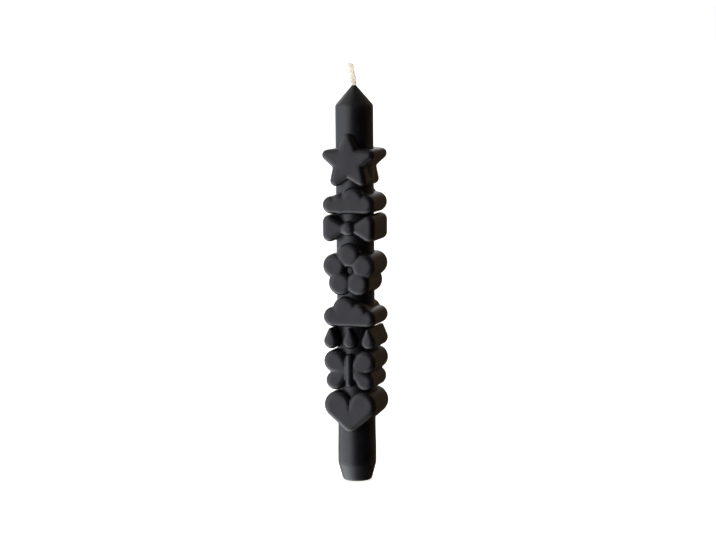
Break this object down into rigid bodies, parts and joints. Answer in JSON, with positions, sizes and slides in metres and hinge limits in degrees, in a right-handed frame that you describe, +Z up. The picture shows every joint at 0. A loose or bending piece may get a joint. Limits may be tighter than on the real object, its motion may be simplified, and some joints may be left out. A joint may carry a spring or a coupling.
{
  "type": "taper candle",
  "caption": "Black wax taper candle with puffy relief blocks up its shaft, a pointed tip, a tapered foot that fits a candle holder's socket, and a cotton wick.",
  "frame": {"origin": "centre of the flat end of the foot, on the shaft's axis", "axes": "+Z up the shaft towards the wick; the relief's faces look along -Y (front) and +Y (back)"},
  "size_m": [0.0316, 0.0312, 0.2442],
  "materials": {
    "wax": "cast black candle wax, matt with a soft sheen",
    "cotton": "braided cotton, wax-primed, undyed"
  },
  "bodies": {
    "root": {"shaft": "wax", "wick": "cotton", "heart": "wax", "butterfly": "wax", "raindrops": "wax", "cloud": "wax", "flower": "wax", "bow": "wax", "small_cloud": "wax", "star": "wax"}
  },
  "joints": []
}
